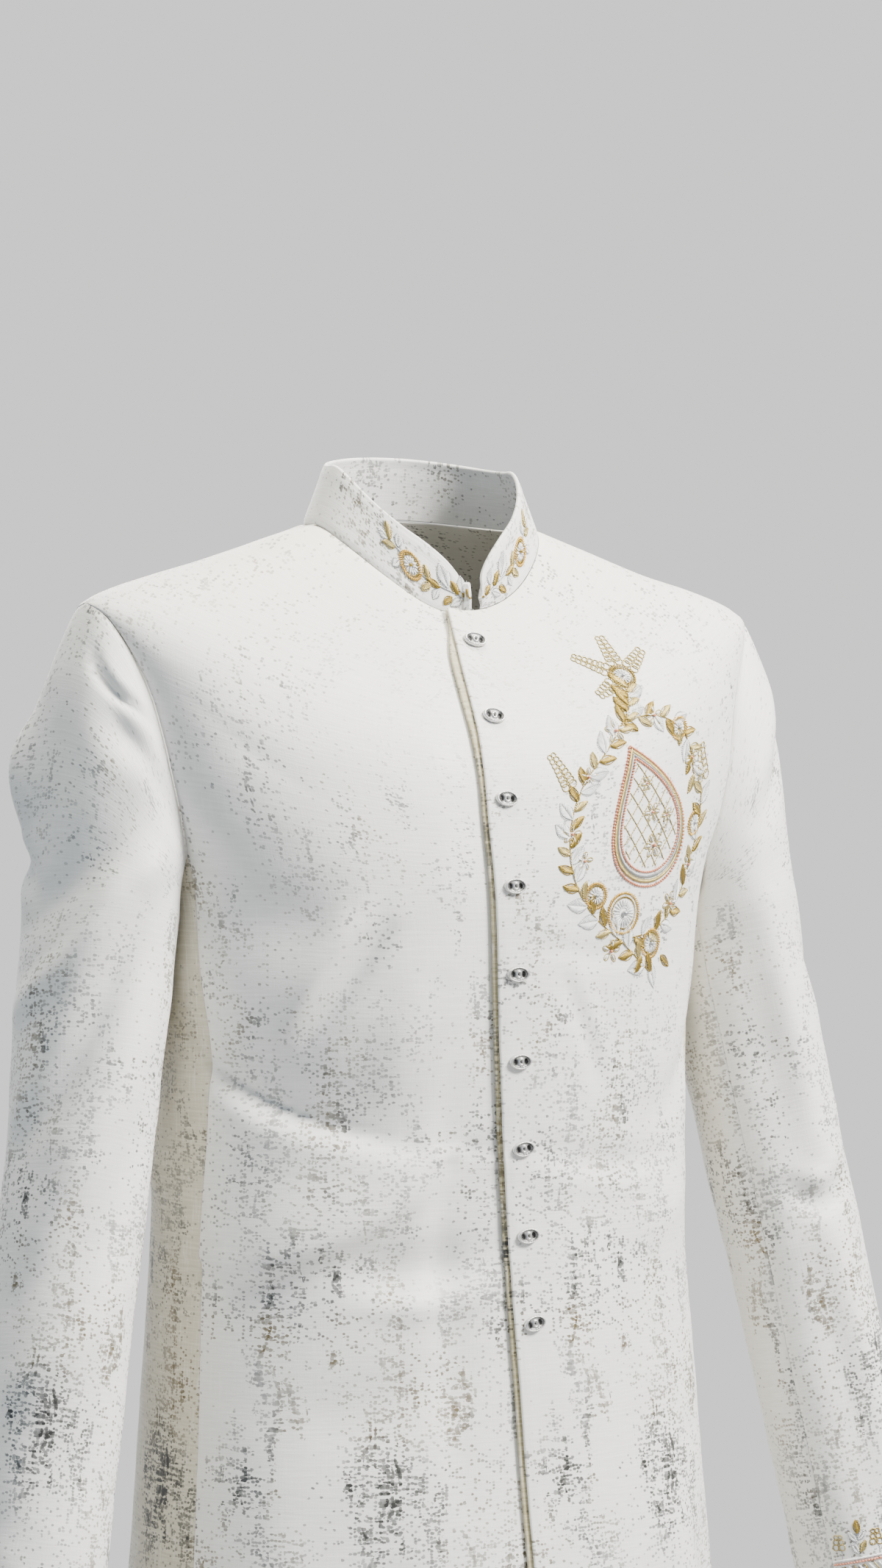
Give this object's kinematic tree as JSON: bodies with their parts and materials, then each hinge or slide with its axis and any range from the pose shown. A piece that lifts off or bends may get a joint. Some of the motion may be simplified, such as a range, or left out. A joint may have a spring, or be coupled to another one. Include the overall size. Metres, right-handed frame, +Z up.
{
  "type": "jodhpuri suit",
  "caption": "Closed-neck jacket with a stand collar, oval metal buttons and embroidery, worn over plain straight trousers, hollow as on a wearer.",
  "frame": {"origin": "midway between the two neck points of the shoulder seams, where the suit hangs on its wearer", "axes": "+Z up, +X to the wearer's left, the front looks towards -Y"},
  "size_m": [0.6788, 0.2736, 1.5385],
  "materials": {
    "brocade": "ivory brocade with a soft satin sheen and worn silver and old-gold specks in upright streaks",
    "facing": "the same ivory cloth, in shade",
    "trouser_cloth": "plain matt ivory suiting",
    "button_metal": "old silver, dark in its hollows",
    "gold_thread": "gold and antique-gold metal thread, bugles and small beads",
    "silver_thread": "white and silver thread and cord"
  },
  "bodies": {
    "root": {"collar": "brocade", "right_front": "brocade", "right_side": "brocade", "right_back": "brocade", "right_top_sleeve": "brocade", "right_under_sleeve": "brocade", "left_front": "brocade", "left_side": "brocade", "left_back": "brocade", "left_top_sleeve": "brocade", "left_under_sleeve": "brocade", "left_front_facing": "facing", "button_1": "button_metal", "button_2": "button_metal", "button_3": "button_metal", "button_4": "button_metal", "button_5": "button_metal", "button_6": "button_metal", "button_7": "button_metal", "button_8": "button_metal", "button_9": "button_metal", "trouser_right_front": "trouser_cloth", "trouser_right_back": "trouser_cloth", "trouser_left_front": "trouser_cloth", "trouser_left_back": "trouser_cloth", "trouser_waistband": "trouser_cloth"}
  },
  "joints": []
}
